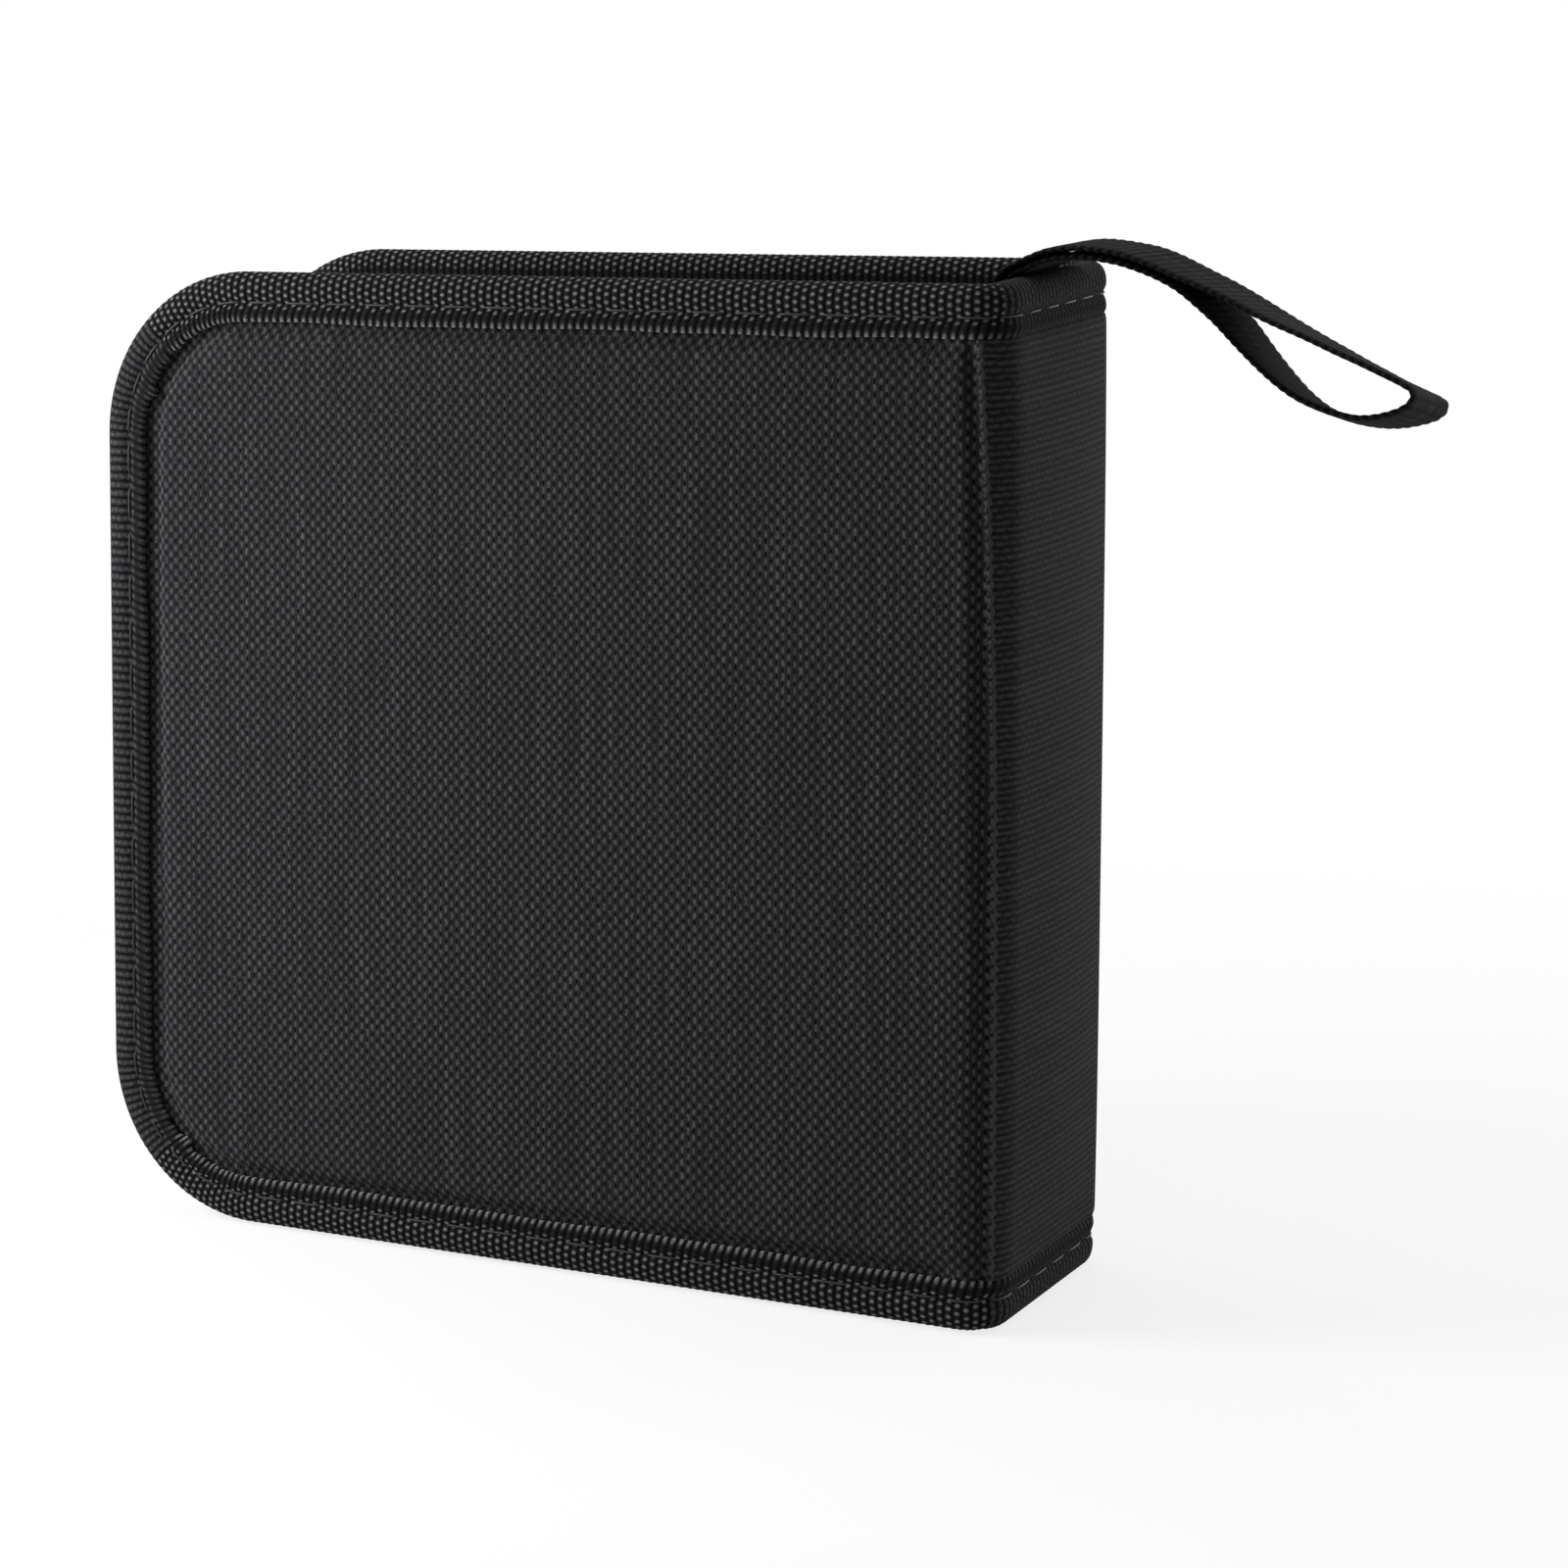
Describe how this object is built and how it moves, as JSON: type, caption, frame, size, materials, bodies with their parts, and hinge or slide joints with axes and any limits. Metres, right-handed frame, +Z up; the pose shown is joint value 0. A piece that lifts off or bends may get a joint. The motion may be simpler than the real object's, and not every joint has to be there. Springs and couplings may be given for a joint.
{
  "type": "cd storage case",
  "caption": "Pocket-size zip-round fabric case for discs, standing upright, with bound covers, a spine with a hand strap loop, and leaves of sleeves inside.",
  "frame": {"origin": "middle of the flat that runs along the spine's lower rim, on which the case stands", "axes": "+X out of the spine, the covers running to -X; +Y from the front cover to the back cover; +Z up"},
  "size_m": [0.2174, 0.0476, 0.1636],
  "materials": {
    "cover_cloth": "coarse plain-weave nylon, dark grey-black, matt",
    "spine_cloth": "the same coarse nylon on the spine, a little darker",
    "binding_tape": "ribbed woven nylon tape, dark grey, matt",
    "webbing": "ribbed nylon webbing, dark grey",
    "lining": "smooth black nylon",
    "zip_tape": "black knitted polyester tape",
    "board": "stiff plastic sheet, hidden",
    "zip_row": "black nylon coil",
    "zip_metal": "dark plated zinc",
    "sleeve_film": "smoky clear film on a soft dark backing"
  },
  "bodies": {
    "spine": {"spine_panel": "spine_cloth", "spine_board": "board", "spine_lining": "lining", "spine_binding_top": "binding_tape", "spine_binding_bottom": "binding_tape", "hand_strap": "webbing", "sleeve_strip": "lining", "sleeve_pages": "sleeve_film", "zip_tab_top": "binding_tape", "zip_tab_bottom": "binding_tape", "front_zip_tail_top": "zip_tape", "front_zip_tail_bottom": "zip_tape", "front_zip_stop_top": "zip_metal", "front_zip_stop_bottom": "zip_metal", "back_zip_tail_top": "zip_tape", "back_zip_tail_bottom": "zip_tape", "back_zip_stop_top": "zip_metal", "back_zip_stop_bottom": "zip_metal"},
    "front_cover": {"front_panel": "cover_cloth", "front_board": "board", "front_lining": "lining", "front_binding": "binding_tape", "front_zip_tape": "zip_tape", "front_zip_row": "zip_row"},
    "back_cover": {"back_panel": "cover_cloth", "back_board": "board", "back_lining": "lining", "back_binding": "binding_tape", "back_zip_tape": "zip_tape", "back_zip_row": "zip_row"},
    "zip_slider": {"slider_body": "zip_metal"},
    "zip_pull": {"zip_pull": "zip_metal"}
  },
  "joints": [
    {"name": "front_cover_hinge", "type": "hinge", "parent": "spine", "child": "front_cover", "pos_m": [0.00101, -0.02176, 0.0785], "axis": [0, 0, 1], "range_deg": [0, 90]},
    {"name": "back_cover_hinge", "type": "hinge", "parent": "spine", "child": "back_cover", "pos_m": [0.00101, 0.02176, 0.0785], "axis": [0, 0, -1], "range_deg": [0, 90]},
    {"name": "slider_slide", "type": "slide", "parent": "spine", "child": "zip_slider", "axis": [1, 0, 0], "range_m": [-0.1, 0]},
    {"name": "pull_swing", "type": "hinge", "parent": "zip_slider", "child": "zip_pull", "pos_m": [-0.02255, 0, 0.15125], "axis": [0, 1, 0], "range_deg": [0, 125]}
  ]
}
